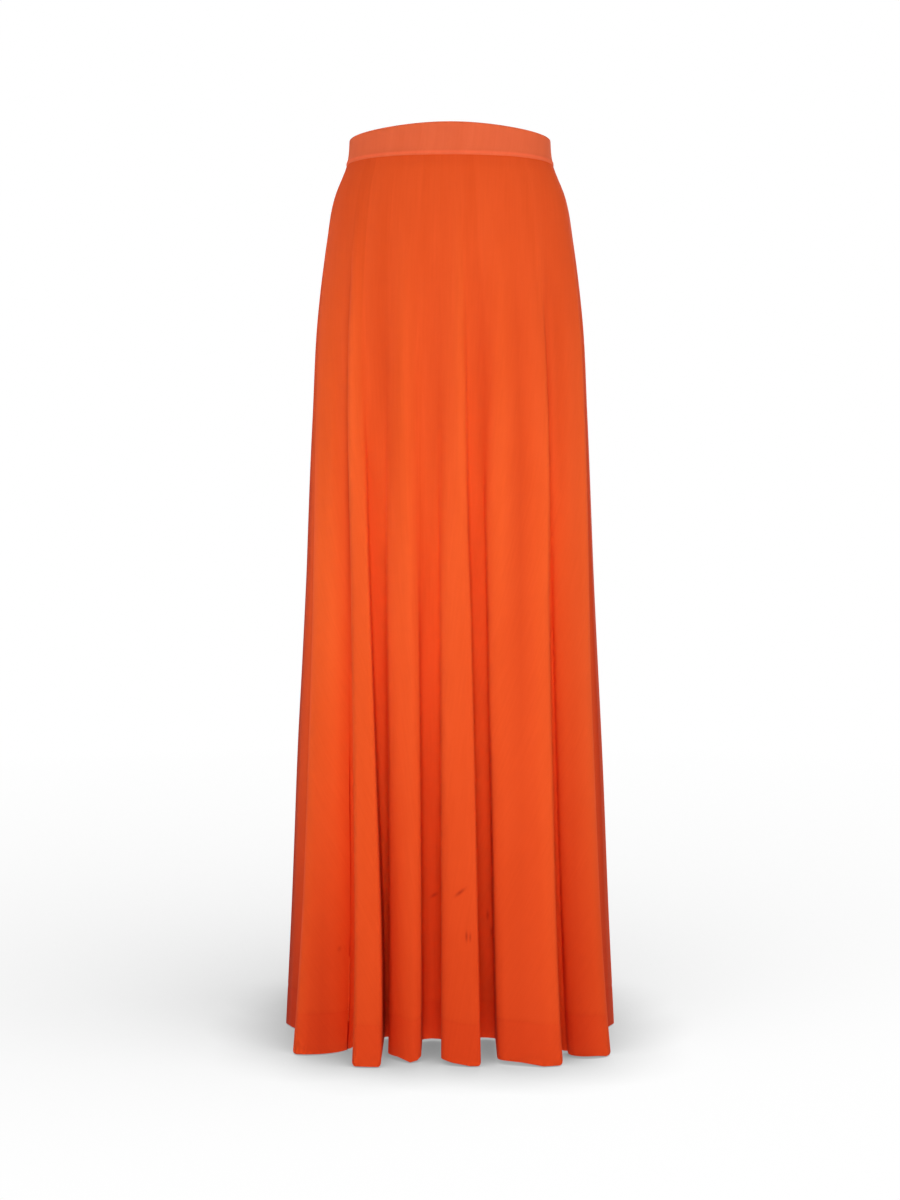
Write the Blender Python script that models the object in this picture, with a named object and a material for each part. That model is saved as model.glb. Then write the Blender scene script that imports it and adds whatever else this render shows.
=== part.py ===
"""A flared, floor-length jersey skirt on a wide waistband, hollow and hanging as it is worn.

Metres, +Z up. The origin is the middle of the waist, half way up the waistband at the side seams, and the front
faces -Y. Angles run round the skirt from the centre front: -90 is the side seam on -X, 90 the one on +X and 180
the centre back. The skirt is a loft through level sections. A section is the skirt's outline, with folds that
draw the cloth inwards between one ridge and the next. It is cut into panels at the side seams.
"""

import math

import bpy
import numpy as np

# The cloth
HEM_BELOW = 1.030  # the hem, below the waist
CLOTH = 0.0012  # one layer of jersey
HEM_TURN = 0.045  # depth of the turned-up hem, which doubles the cloth
HEM_STEP = 0.002  # height over which the doubled cloth thins to one layer
SEAM_GAP = 0.0003  # between pieces that are sewn to each other

# The waistband, folded over at its top edge. It is deepest at the centre front and back.
BAND_THICK = 0.0030
BAND_PROUD = 0.0010  # how far it stands out from the outline
BAND_CORNER = 0.0009  # radius of its sewn edge
BAND_TOP_SIDE = 0.0125  # its top edge above the waist, at the side seams
BAND_TOP_MIDDLE = 0.0180  # and at the centre front and back
BAND_SEAM_SIDE = 0.0185  # its sewn edge below the waist, at the side seams
BAND_SEAM_MIDDLE = 0.0208

# The outline of the skirt over its ridges: half its width, its reach to the front and to the back, and how square
# the section is (2 is an ellipse), each at a distance below the waist.
OUTLINE_COLUMNS = ("below", "half_width", "front", "back", "square")
OUTLINE = (
    (-0.018, 0.1186, 0.0865, 0.0885, 2.00),
    (0.012, 0.1212, 0.0890, 0.0910, 2.00),
    (0.057, 0.1375, 0.0985, 0.1040, 2.05),
    (0.110, 0.1470, 0.1080, 0.1180, 2.15),
    (0.200, 0.1578, 0.1210, 0.1310, 2.30),
    (0.310, 0.1632, 0.1330, 0.1400, 2.50),
    (0.520, 0.1714, 0.1530, 0.1570, 2.80),
    (0.735, 0.1813, 0.1740, 0.1760, 3.15),
    (0.900, 0.1875, 0.1885, 0.1890, 3.65),
    (1.030, 0.1935, 0.2010, 0.1990, 4.20),
)

# The folds, in order round the skirt from the side seam on -X. A row is a valley: its left and its right wall, how
# far its floor stands in from the outline at the hem, how it deepens (1 is straight, and more is slow at first), the
# share of the skirt's length above its start, and how far the ridge that follows it stands in at the hem. For a wall
# it gives the angle at the waist and at the hem, the radii of the bends at the wall's foot and top, the share of the
# length above the place where they are fully formed, and how much of the depth is an even slope from the ridge.
WALL_COLUMNS = ("waist", "hem", "foot", "top", "full", "slant")
FOLD_COLUMNS = ("left", "right", "deep", "growth", "start", "next_ridge_in")
FRONT_FOLDS = (
    ((-90.0, -66.0, 0.010, 0.010, 0.50, 0.9), (-86.0, -49.0, 0.004, 0.004, 0.30, 0.0), 0.052, 1.00, 0.06, 0.010),
    ((-60.5, -29.6, 0.003, 0.030, 0.60, 0.9), (-59.2, -28.4, 0.003, 0.005, 0.20, 0.0), 0.064, 1.15, 0.10, 0.000),
    ((-52.5, -20.5, 0.0036, 0.0045, 0.40, 0.0), (-37.5, -18.9, 0.004, 0.011, 0.28, 0.2), 0.114, 1.65, 0.12, 0.018),
    ((-19.5, -8.9, 0.0040, 0.0055, 0.75, 0.1), (-6.6, -2.8, 0.004, 0.012, 0.30, 0.1), 0.108, 1.60, 0.16, 0.004),
    ((7.0, 9.5, 0.0036, 0.0045, 0.26, 0.0), (16.6, 14.4, 0.004, 0.011, 0.44, 0.15), 0.112, 1.65, 0.10, 0.000),
    ((52.0, 32.4, 0.0036, 0.0045, 0.22, 0.0), (53.4, 34.6, 0.003, 0.020, 0.60, 0.55), 0.050, 0.95, 0.10, 0.000),
    ((84.0, 50.0, 0.004, 0.004, 0.30, 0.0), (88.0, 65.0, 0.010, 0.010, 0.50, 0.9), 0.052, 1.00, 0.06, 0.000),
)
BACK_FOLDS = (
    ((92.5, 103.0, 0.010, 0.012, 0.50, 0.0), (99.0, 121.0, 0.006, 0.016, 0.38, 0.1), 0.056, 1.20, 0.10, 0.008),
    ((118.0, 135.0, 0.006, 0.016, 0.50, 0.1), (126.0, 139.5, 0.004, 0.0055, 0.30, 0.0), 0.062, 1.30, 0.15, 0.000),
    ((141.0, 152.0, 0.0036, 0.0050, 0.34, 0.0), (150.0, 156.5, 0.006, 0.017, 0.48, 0.1), 0.084, 1.60, 0.12, 0.010),
    ((163.0, 170.0, 0.006, 0.016, 0.52, 0.1), (171.0, 176.0, 0.004, 0.0055, 0.28, 0.0), 0.088, 1.65, 0.15, 0.000),
    ((184.0, 188.5, 0.0038, 0.0050, 0.30, 0.0), (195.0, 193.5, 0.006, 0.017, 0.46, 0.2), 0.078, 1.50, 0.12, 0.008),
    ((206.0, 205.5, 0.006, 0.018, 0.50, 0.1), (214.0, 209.5, 0.0036, 0.0050, 0.26, 0.0), 0.082, 1.60, 0.10, 0.004),
    ((230.0, 222.0, 0.0040, 0.0060, 0.32, 0.0), (240.0, 227.0, 0.008, 0.030, 0.60, 0.5), 0.060, 1.20, 0.13, 0.000),
    ((261.0, 241.0, 0.006, 0.012, 0.40, 0.0), (267.5, 258.0, 0.010, 0.012, 0.50, 0.0), 0.056, 1.20, 0.10, 0.000),
)
RIDGE_START = 0.20  # the share of the length above which every ridge lies on the outline
RIDGE_GROWTH = 1.35  # how the ridges move in below that
UNFORMED_BEND = 0.050  # the radius of the bends where a fold starts
SLOPE_EASE = 1.1  # how a slanted wall runs: 1 is straight, and more is flatter at the ridge
FLATTEST = 0.001  # the least depth of a fold, for each metre of its width
FOLD_LEAN = 1.50  # how the walls run from their waist angle to their hem angle: more is faster at first

# The hem hangs a little higher where a steep fold turns inwards than on the ridges.
HEM_RISE = 0.0055  # how much higher, at the most
HEM_RISE_WITHIN = 0.005  # the depth in a fold by which most of that is reached
HEM_RISE_FADES = 0.060  # and the depth by which most of it is lost again
HEM_RISE_START = 0.75  # the share of the length above which nothing rises
HEM_RISE_GROWTH = 2

# A fold draws the cloth straight back at the centre front, and more and more sideways towards the seams.
SIDEWAYS_AT_SEAM = 1.00  # the sideways part there, as a share of the way to the skirt's axis
SIDEWAYS_SPREAD = 8  # the power of the angle's sine by which the sideways part grows

LEVELS = (0.0, 0.03, 0.07, 0.12, 0.18, 0.25, 0.33, 0.42, 0.52, 0.62, 0.72, 0.82, 0.90)
FOLD_STEPS = 6  # columns from a ridge to the next valley
BAND_STEPS = 40  # columns along one half of the waistband
CORNER_STEPS = 2

ORANGE = (0.80, 0.10, 0.020)
PALE_ORANGE = (0.78, 0.13, 0.045)
ROUGHNESS = 0.8


def clear_scene():
    for old in list(bpy.data.objects):
        bpy.data.objects.remove(old, do_unlink=True)


def fabric(name, colour):
    """A material for one piece, dyed to a colour."""
    material = bpy.data.materials.new(name)
    material.use_nodes = True
    shader = material.node_tree.nodes["Principled BSDF"]
    shader.inputs["Base Color"].default_value = (*colour, 1.0)
    shader.inputs["Roughness"].default_value = ROUGHNESS
    shader.inputs["Metallic"].default_value = 0.0
    return material


def add_solid(collection, name, points, faces, colour):
    mesh = bpy.data.meshes.new(name)
    mesh.from_pydata(points.tolist(), [], [list(face) for face in faces])
    mesh.materials.append(fabric(name, colour))
    mesh.shade_smooth()
    mesh.set_sharp_from_angle(angle=math.radians(50))
    piece = bpy.data.objects.new(name, mesh)
    collection.objects.link(piece)
    return piece


def through(places, values, x):
    """A smooth curve through the points (places, values), read at x. It is cubic from each point to the next."""
    slopes = np.gradient(values, places)
    i = np.clip(np.searchsorted(places, x) - 1, 0, len(places) - 2)
    span = places[i + 1] - places[i]
    u = np.clip((x - places[i]) / span, 0.0, 1.0)
    leaving = (1 + 2 * u) * (1 - u) ** 2 * values[i] + u * (1 - u) ** 2 * span * slopes[i]
    arriving = u**2 * (3 - 2 * u) * values[i + 1] + u**2 * (u - 1) * span * slopes[i + 1]
    return leaving + arriving


def outline(angle, below):
    """The point (x, y) of the skirt's outline at an angle in degrees and a distance below the waist."""
    table = dict(zip(OUTLINE_COLUMNS, np.array(OUTLINE).T))
    half_width, front, back, square = (through(table["below"], table[key], below) for key in OUTLINE_COLUMNS[1:])
    across, ahead = np.sin(np.radians(angle)), np.cos(np.radians(angle))
    reach = np.where(ahead > 0, front, back)
    radius = (np.abs(across / half_width) ** square + np.abs(ahead / reach) ** square) ** (-1 / square)
    return np.stack([radius * across, -radius * ahead], axis=-1)


def drawn_in(angle, point):
    """The unit direction in which a fold draws the cloth in, from a point of the outline."""
    sideways = SIDEWAYS_AT_SEAM * np.sin(np.radians(angle)) ** SIDEWAYS_SPREAD
    towards = np.stack([-sideways * point[..., 0], -point[..., 1]], axis=-1)
    return towards / np.linalg.norm(towards, axis=-1, keepdims=True)


def rising(side, middle, angle):
    """A height that is `side` at the side seams and `middle` at the centre front and back."""
    return side + (middle - side) * np.cos(np.radians(angle)) ** 2


def half_fold(width, depth, floor, foot, top, slant, even):
    """Half a fold in section, from its ridge (0, 0) to its valley (1, 1), at the evenly spaced shares `even`.

    The first result is a share of the width and the second a share of the depth. In section the half is a flat
    ridge, a bend, a straight wall, a bend the other way and a flat floor, and the middle of the wall is `floor`
    away from the end. A shallow fold has no wall, and its bends turn less than upright. The points are spread half
    by length and half by how much the cloth turns, so that a tight bend gets its share of them. The share `slant`
    of the depth is a slope over the whole width instead.
    """
    ridge_bend = np.minimum(top, width - floor)
    floor_bend = np.minimum(foot, floor)
    bends = ridge_bend + floor_bend
    slope = np.arccos(np.maximum(1 - depth / bends, 0.0))
    wall = np.maximum(depth - bends, 0.0)
    ridge_flat = width - floor - ridge_bend * np.sin(slope)
    floor_flat = floor - floor_bend * np.sin(slope)
    lengths = np.stack([ridge_flat, ridge_bend * slope, wall, floor_bend * slope, floor_flat])
    turns = np.array([0.0, 0.5, 0.0, 0.5, 0.0])[:, None, None]
    parts = np.maximum((lengths / lengths.sum(axis=0) + turns) / 2, 1e-9)
    ends = np.cumsum(parts, axis=0)
    on_ridge, over, down, under, on_floor = np.clip((even - ends + parts) / parts, 0, 1)
    left_to_turn = slope * (1 - under)
    across = ridge_flat * on_ridge + ridge_bend * np.sin(slope * over) + floor_flat * on_floor
    across += floor_bend * (np.sin(slope) - np.sin(left_to_turn))
    inward = ridge_bend * (1 - np.cos(slope * over)) + wall * down
    inward += floor_bend * (np.cos(left_to_turn) - np.cos(slope))
    across, inward = across / width, inward / depth
    return across, inward * (1 - slant) + slant * across**SLOPE_EASE


def grown(shares, start, growth):
    """How far a fold has grown at shares of the skirt's length, from 0 at its start to 1 at the hem."""
    return np.clip((shares - start) / (1 - start), 0, 1) ** growth


def bend_radius(wall, end, start, shares):
    """The radius of the bend at a wall's foot or top, at shares of the skirt's length. It tightens downwards."""
    formed = np.clip((shares - start) / (wall["full"] - start), 0, 1)
    return wall[end] + max(UNFORMED_BEND - wall[end], 0.0) * (1 - formed) ** 2


def wall_angle(wall, shares):
    """The angle of a wall, at shares of the skirt's length."""
    return wall["hem"] + (wall["waist"] - wall["hem"]) * (1 - shares) ** FOLD_LEAN


def crest_angle(before, after, shares):
    """The angle of the ridge between two walls. It lies nearer to the one with the tighter top."""
    towards = before["top"] / (before["top"] + after["top"])
    return wall_angle(before, shares) * (1 - towards) + wall_angle(after, shares) * towards


def ridge_to_valley(shares, ridge_angle, ridge_in, fold, side, even):
    """Outer points (x, y, z) from a ridge to the valley whose left or right wall is beside it, levels by columns."""
    wall = fold[side]
    edge_angle = wall_angle(wall, shares)
    valley_angle = (wall_angle(fold["left"], shares) + wall_angle(fold["right"], shares)) / 2
    below = BAND_SEAM_SIDE + (HEM_BELOW - BAND_SEAM_SIDE) * shares
    ridge_place, valley_place = outline(ridge_angle, below), outline(valley_angle, below)
    chord = valley_place - ridge_place
    pull = drawn_in((ridge_angle + valley_angle) / 2, (ridge_place + valley_place) / 2)
    width = np.abs(chord[..., 0] * pull[..., 1] - chord[..., 1] * pull[..., 0])
    floor = width * (valley_angle - edge_angle) / (valley_angle - ridge_angle)
    ridge_depth = ridge_in * grown(shares, RIDGE_START, RIDGE_GROWTH)
    depth = fold["deep"] * grown(shares, fold["start"], fold["growth"]) - ridge_depth
    depth = np.maximum(depth, width * FLATTEST)
    foot, top = (bend_radius(wall, end, fold["start"], shares) for end in ("foot", "top"))
    across, inward = half_fold(width, depth, floor, foot, top, wall["slant"], even)
    angle = ridge_angle + (valley_angle - ridge_angle) * across
    edge = outline(angle, below)
    in_fold = depth * inward
    place = edge + drawn_in(angle, edge) * (ridge_depth + in_fold)[..., None]
    highest = -rising(BAND_SEAM_SIDE, BAND_SEAM_MIDDLE, angle) - SEAM_GAP / 2
    height = highest + (-HEM_BELOW - highest) * shares
    rise = HEM_RISE * (1 - wall["slant"]) * grown(shares, HEM_RISE_START, HEM_RISE_GROWTH)
    height += rise * (1 - np.exp(-((in_fold / HEM_RISE_WITHIN) ** 2))) * np.exp(-in_fold / HEM_RISE_FADES)
    return np.concatenate([place, height[..., None]], axis=-1)


def skirt_surface(levels, steps):
    """Outer points of the whole skirt, levels by columns, from the side seam on -X round to the same seam."""
    shares = np.asarray(levels)[:, None]
    even = np.linspace(0, 1, steps + 1)[None, :]
    folds = [dict(zip(FOLD_COLUMNS, row)) for row in FRONT_FOLDS + BACK_FOLDS]
    for fold in folds:
        fold["left"], fold["right"] = (dict(zip(WALL_COLUMNS, fold[side])) for side in ("left", "right"))
    crests = [
        crest_angle(fold["right"], after["left"], shares) for fold, after in zip(folds[:-1], folds[1:])
    ]
    first, last = folds[0], folds[-1]
    last_wall = {**last["right"], "waist": last["right"]["waist"] - 360, "hem": last["right"]["hem"] - 360}
    seam = crest_angle(last_wall, first["left"], shares)
    stretches = []
    for fold, before, left_ridge, right_ridge in zip(folds, [last, *folds], [seam, *crests], [*crests, seam + 360]):
        left = ridge_to_valley(shares, left_ridge, before["next_ridge_in"], fold, "left", even)
        right = ridge_to_valley(shares, right_ridge, fold["next_ridge_in"], fold, "right", even)
        stretches += [left[:, :-1], right[:, :0:-1]]
    around = np.concatenate(stretches, axis=1)
    return np.concatenate([around, around[:, :1]], axis=1)


def outward_normals(points):
    """Unit normals of the closed grid that skirt_surface gives."""
    wide = np.concatenate([points[:, -2:-1], points, points[:, 1:2]], axis=1)
    normals = np.cross(np.gradient(points, axis=0), wide[:, 2:] - wide[:, :-2])
    return normals / np.linalg.norm(normals, axis=-1, keepdims=True)


def wall_faces(rows, columns):
    """Faces of a wall between an outer and an inner grid of points, with a rim on all four sides."""
    outer = np.arange(rows * columns).reshape(rows, columns)
    inner = outer + rows * columns
    edge = np.concatenate([outer[0, :-1], outer[:-1, -1], outer[-1, :0:-1], outer[:0:-1, 0]])
    beside = np.roll(edge, -1)
    shift = rows * columns
    skin = np.stack([outer[:-1, :-1], outer[1:, :-1], outer[1:, 1:], outer[:-1, 1:]], axis=-1).reshape(-1, 4)
    lining = np.stack([inner[:-1, :-1], inner[:-1, 1:], inner[1:, 1:], inner[1:, :-1]], axis=-1).reshape(-1, 4)
    rim = np.stack([edge, beside, beside + shift, edge + shift], axis=-1)
    return np.concatenate([skin, lining, rim])


def add_panel(collection, name, outer, normals, layers, colour):
    """A panel from one side seam to the other. Its edge columns move in along the cloth to part it at the seams."""
    placed = outer.copy()
    for edge, beside in ((0, 1), (-1, -2)):
        along = outer[:, beside] - outer[:, edge]
        placed[:, edge] += SEAM_GAP / 2 * along / np.linalg.norm(along, axis=-1, keepdims=True)
    inner = placed - normals * (CLOTH * layers)[:, None, None]
    points = np.concatenate([placed.reshape(-1, 3), inner.reshape(-1, 3)])
    add_solid(collection, name, points, wall_faces(*outer.shape[:2]), colour)


def add_panels(collection):
    drop = HEM_BELOW - BAND_SEAM_SIDE
    levels = np.array([*LEVELS, 1 - (HEM_TURN + HEM_STEP) / drop, 1 - HEM_TURN / drop, 1.0])
    layers = np.array([*(1 for _ in LEVELS), 1, 2, 2])
    surface = skirt_surface(levels, FOLD_STEPS)
    normals = outward_normals(surface)
    seam = 2 * FOLD_STEPS * len(FRONT_FOLDS)
    add_panel(collection, "front_panel", surface[:, : seam + 1], normals[:, : seam + 1], layers, ORANGE)
    add_panel(collection, "back_panel", surface[:, seam:], normals[:, seam:], layers, ORANGE)


def band_section():
    """The waistband's section, up its face, over the fold and down its inside to the sewn edge, as three columns.

    They are the distance in from its face, the share of the band's height, and a move up in metres.
    """
    half = BAND_THICK / 2
    quarter = [math.pi / 2 * step / CORNER_STEPS for step in range(CORNER_STEPS + 1)]
    half_turn = [math.pi * step / (2 * CORNER_STEPS) for step in range(2 * CORNER_STEPS + 1)]
    sewn_out = [(BAND_CORNER * (1 - math.sin(t)), 0.0, BAND_CORNER * (1 - math.cos(t))) for t in quarter]
    fold = [(half * (1 - math.cos(t)), 1.0, half * (math.sin(t) - 1)) for t in half_turn]
    sewn_in = [(BAND_THICK - x, share, up) for x, share, up in reversed(sewn_out)]
    return np.array([*sewn_out, (0.0, 0.5, 0.0), *fold, (BAND_THICK, 0.5, 0.0), *sewn_in])


def add_band(collection, name, start, end):
    """Half of the waistband, from the angle `start` to the angle `end`, as its section carried round the waist."""
    inward, share, up = (part[:, None] for part in band_section().T)
    angle = np.linspace(start, end, BAND_STEPS + 1)[None, :]
    low = -rising(BAND_SEAM_SIDE, BAND_SEAM_MIDDLE, angle) + SEAM_GAP / 2
    high = rising(BAND_TOP_SIDE, BAND_TOP_MIDDLE, angle)
    height = low + (high - low) * share + up
    place = outline(angle, -height)
    onward = outline(angle + 0.5, -height) - outline(angle - 0.5, -height)
    face_out = np.stack([onward[..., 1], -onward[..., 0]], axis=-1)
    face_out /= np.linalg.norm(face_out, axis=-1, keepdims=True)
    place = place + face_out * (BAND_PROUD - inward)[..., None]
    points = np.concatenate([place, height[..., None]], axis=-1)
    for edge, beside in ((0, 1), (-1, -2)):
        along = points[:, beside] - points[:, edge]
        points[:, edge] += SEAM_GAP / 2 * along / np.linalg.norm(along, axis=-1, keepdims=True)
    rows, columns = points.shape[:2]
    index = np.arange(rows * columns).reshape(rows, columns)
    following = np.roll(index, -1, axis=0)
    skin = np.stack([index[:, :-1], index[:, 1:], following[:, 1:], following[:, :-1]], axis=-1).reshape(-1, 4)
    faces = [*skin.tolist(), index[:, 0].tolist(), index[::-1, -1].tolist()]
    add_solid(collection, name, points.reshape(-1, 3), faces, PALE_ORANGE)


def add_skirt():
    collection = bpy.data.collections.new("maxi_skirt")
    bpy.context.scene.collection.children.link(collection)
    add_panels(collection)
    add_band(collection, "waistband_front", -90, 90)
    add_band(collection, "waistband_back", 90, 270)


clear_scene()
add_skirt()
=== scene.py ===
"""The looks of a floor-length flared jersey skirt, hanging as it is worn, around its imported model.

Metres, +Z up. The origin is the middle of the waist and the front faces -Y. Angles run round the skirt from
the centre front: -90 is the side seam on -X, 90 the one on +X and 180 the centre back.
"""

import math

import bpy
import numpy as np
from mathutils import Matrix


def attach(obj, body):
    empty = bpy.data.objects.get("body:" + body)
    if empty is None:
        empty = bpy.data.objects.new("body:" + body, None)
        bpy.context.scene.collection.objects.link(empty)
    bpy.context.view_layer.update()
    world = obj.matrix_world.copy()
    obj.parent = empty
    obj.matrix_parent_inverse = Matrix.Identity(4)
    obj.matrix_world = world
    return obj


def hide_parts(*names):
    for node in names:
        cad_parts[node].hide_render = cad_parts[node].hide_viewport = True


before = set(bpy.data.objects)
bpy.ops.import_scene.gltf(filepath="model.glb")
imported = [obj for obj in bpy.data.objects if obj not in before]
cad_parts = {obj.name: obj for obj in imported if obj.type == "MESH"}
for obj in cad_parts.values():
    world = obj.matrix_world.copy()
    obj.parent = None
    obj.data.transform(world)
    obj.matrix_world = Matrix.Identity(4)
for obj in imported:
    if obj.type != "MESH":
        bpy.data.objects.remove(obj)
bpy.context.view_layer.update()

# ------------------------------------------------------------------------------
# The front and back panels. Each is one flared length of fine viscose jersey, cut on the straight grain and
# joined to the other at the side seams. It hangs from the waistband in soft folds, and its hem is turned up
# and caught down by hand on the inside.
# ------------------------------------------------------------------------------
HEM_BELOW = 1.030  # the hem, below the waist
JERSEY_THICK = 0.0008
HEM_TURN = 0.045
HEM_FOLD = 0.0009  # radius of the fold at the hem's edge
TUCKED_UP = 0.005  # the top edge, inside the waistband
SEAM_AT_SIDE, SEAM_AT_MIDDLE = 0.0185, 0.0208  # the waistband's sewn edge, below the waist

# The outline over the ridges, at a distance below the waist: half the width, the reach to the front and to
# the back, and how square the section is (2 is an ellipse).
OUTLINE_COLUMNS = ("below", "half_width", "front", "back", "square")
OUTLINE = (
    (-0.018, 0.1186, 0.0865, 0.0885, 2.00),
    (0.012, 0.1212, 0.0890, 0.0910, 2.00),
    (0.057, 0.1375, 0.0985, 0.1040, 2.05),
    (0.110, 0.1470, 0.1080, 0.1180, 2.15),
    (0.200, 0.1578, 0.1210, 0.1310, 2.30),
    (0.310, 0.1632, 0.1330, 0.1400, 2.50),
    (0.520, 0.1714, 0.1530, 0.1570, 2.80),
    (0.735, 0.1813, 0.1740, 0.1760, 3.15),
    (0.900, 0.1875, 0.1885, 0.1890, 3.65),
    (1.030, 0.1935, 0.2010, 0.1990, 4.20),
)

# The folds, in order round the skirt from the side seam on -X. A row is a valley: its left and its right
# wall, how far its floor stands in from the outline at the hem, how it deepens (1 is straight, and more is
# slow at first), the share of the skirt's length above its start, and how far the ridge that follows it
# stands in at the hem. For a wall it gives the angle at the waist and at the hem, the radii of the bends at
# the wall's foot and top, the share of the length above the place where they are fully formed, and how much
# of the depth is an even slope from the ridge.
WALL_COLUMNS = ("waist", "hem", "foot", "top", "full", "slant")
FOLD_COLUMNS = ("left", "right", "deep", "growth", "start", "next_ridge_in")
FRONT_FOLDS = (
    ((-90.0, -66.0, 0.01, 0.01, 0.5, 0.9), (-86.0, -49.0, 0.004, 0.004, 0.3, 0.0),
     0.052, 1.0, 0.06, 0.01),
    ((-60.5, -29.6, 0.003, 0.03, 0.6, 0.9), (-59.2, -28.4, 0.003, 0.005, 0.2, 0.0),
     0.064, 1.15, 0.1, 0.0),
    ((-52.5, -20.5, 0.0036, 0.0045, 0.4, 0.0), (-37.5, -18.9, 0.004, 0.011, 0.28, 0.2),
     0.114, 1.65, 0.12, 0.018),
    ((-19.5, -8.9, 0.004, 0.0055, 0.75, 0.1), (-6.6, -2.8, 0.004, 0.012, 0.3, 0.1),
     0.108, 1.6, 0.16, 0.004),
    ((7.0, 9.5, 0.0036, 0.0045, 0.26, 0.0), (16.6, 14.4, 0.004, 0.011, 0.44, 0.15),
     0.112, 1.65, 0.1, 0.0),
    ((52.0, 32.4, 0.0036, 0.0045, 0.22, 0.0), (53.4, 34.6, 0.003, 0.02, 0.6, 0.55),
     0.05, 0.95, 0.1, 0.0),
    ((84.0, 50.0, 0.004, 0.004, 0.3, 0.0), (88.0, 65.0, 0.01, 0.01, 0.5, 0.9),
     0.052, 1.0, 0.06, 0.0),
)
BACK_FOLDS = (
    ((92.5, 103.0, 0.01, 0.012, 0.5, 0.0), (99.0, 121.0, 0.006, 0.016, 0.38, 0.1),
     0.056, 1.2, 0.1, 0.008),
    ((118.0, 135.0, 0.006, 0.016, 0.5, 0.1), (126.0, 139.5, 0.004, 0.0055, 0.3, 0.0),
     0.062, 1.3, 0.15, 0.0),
    ((141.0, 152.0, 0.0036, 0.005, 0.34, 0.0), (150.0, 156.5, 0.006, 0.017, 0.48, 0.1),
     0.084, 1.6, 0.12, 0.01),
    ((163.0, 170.0, 0.006, 0.016, 0.52, 0.1), (171.0, 176.0, 0.004, 0.0055, 0.28, 0.0),
     0.088, 1.65, 0.15, 0.0),
    ((184.0, 188.5, 0.0038, 0.005, 0.3, 0.0), (195.0, 193.5, 0.006, 0.017, 0.46, 0.2),
     0.078, 1.5, 0.12, 0.008),
    ((206.0, 205.5, 0.006, 0.018, 0.5, 0.1), (214.0, 209.5, 0.0036, 0.005, 0.26, 0.0),
     0.082, 1.6, 0.1, 0.004),
    ((230.0, 222.0, 0.004, 0.006, 0.32, 0.0), (240.0, 227.0, 0.008, 0.03, 0.6, 0.5),
     0.06, 1.2, 0.13, 0.0),
    ((261.0, 241.0, 0.006, 0.012, 0.4, 0.0), (267.5, 258.0, 0.01, 0.012, 0.5, 0.0),
     0.056, 1.2, 0.1, 0.0),
)
RIDGE_START, RIDGE_GROWTH = 0.20, 1.35  # where the ridges begin to stand in, and how
UNFORMED_BEND = 0.050  # radius of a wall's bends where its fold starts
SLOPE_EASE = 1.1
FOLD_LEAN = 1.50
FLATTEST = 0.001  # the least depth of a fold, as a share of its width
# How much higher the hem hangs where a fold turns in, and the depths by which that comes and goes. It
# starts at a share of the length and grows by a power.
HEM_RISE, HEM_RISE_WITHIN, HEM_RISE_FADES = 0.0055, 0.005, 0.060
HEM_RISE_START, HEM_RISE_GROWTH = 0.75, 2
SIDEWAYS_AT_SEAM, SIDEWAYS_SPREAD = 1.00, 8  # folds draw in sideways at the side seams, by this power

# Soft creases that run down the folds. A row is one crease: where it lies, counted in folds round the skirt
# from the seam on -X (whole numbers are ridges and halves are valley floors), at its top and at its bottom;
# the shares of the length where it begins and ends; half its width; and its height, which is below 0 for a
# trough.
CREASE_COLUMNS = ("from_fold", "to_fold", "begins", "ends", "half_width", "height")
CREASES = (
    (0.35, 0.35, 0.10, 1.40, 0.012, -0.0036),
    (1.02, 1.02, 0.09, 0.60, 0.006, 0.0022),
    (1.20, 1.30, 0.10, 0.50, 0.010, -0.0022),
    (1.37, 1.37, 0.35, 1.60, 0.012, -0.0034),
    (1.84, 1.98, 0.04, 0.50, 0.008, 0.0034),
    (2.54, 2.66, 0.08, 0.42, 0.016, -0.0021),
    (2.96, 3.00, 0.08, 0.56, 0.007, 0.0030),
    (3.56, 3.62, 0.10, 0.40, 0.016, -0.0028),
    (4.08, 4.00, 0.03, 0.50, 0.008, 0.0040),
    (4.19, 4.16, 0.16, 0.52, 0.005, -0.0024),
    (4.70, 4.64, 0.10, 0.38, 0.012, -0.0034),
    (4.90, 4.88, 0.08, 0.56, 0.009, 0.0026),
    (4.97, 4.955, 0.10, 0.70, 0.010, -0.0032),
    (5.48, 5.03, 0.08, 0.56, 0.005, 0.0030),
    (5.84, 5.76, 0.10, 0.46, 0.010, -0.0024),
    (6.02, 6.02, 0.09, 0.60, 0.007, 0.0026),
    (6.65, 6.65, 0.10, 1.40, 0.012, -0.0036),
    (7.30, 7.22, 0.12, 0.62, 0.009, -0.0026),
    (7.96, 8.04, 0.09, 0.58, 0.007, 0.0026),
    (8.44, 8.56, 0.08, 0.40, 0.014, -0.0030),
    (9.02, 8.97, 0.05, 0.54, 0.008, 0.0034),
    (9.66, 9.58, 0.10, 0.46, 0.010, -0.0026),
    (10.0, 10.03, 0.07, 0.60, 0.007, 0.0030),
    (10.40, 10.52, 0.08, 0.38, 0.016, -0.0030),
    (11.03, 10.98, 0.04, 0.50, 0.008, 0.0036),
    (11.24, 11.30, 0.14, 0.52, 0.006, -0.0022),
    (11.96, 12.02, 0.07, 0.56, 0.007, 0.0028),
    (12.52, 12.44, 0.09, 0.42, 0.014, -0.0030),
    (13.04, 13.00, 0.06, 0.54, 0.008, 0.0032),
    (13.60, 13.72, 0.12, 0.60, 0.011, -0.0026),
    (14.02, 14.00, 0.10, 0.62, 0.008, 0.0024),
    (14.64, 14.56, 0.14, 0.66, 0.010, -0.0024),
)
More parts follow.
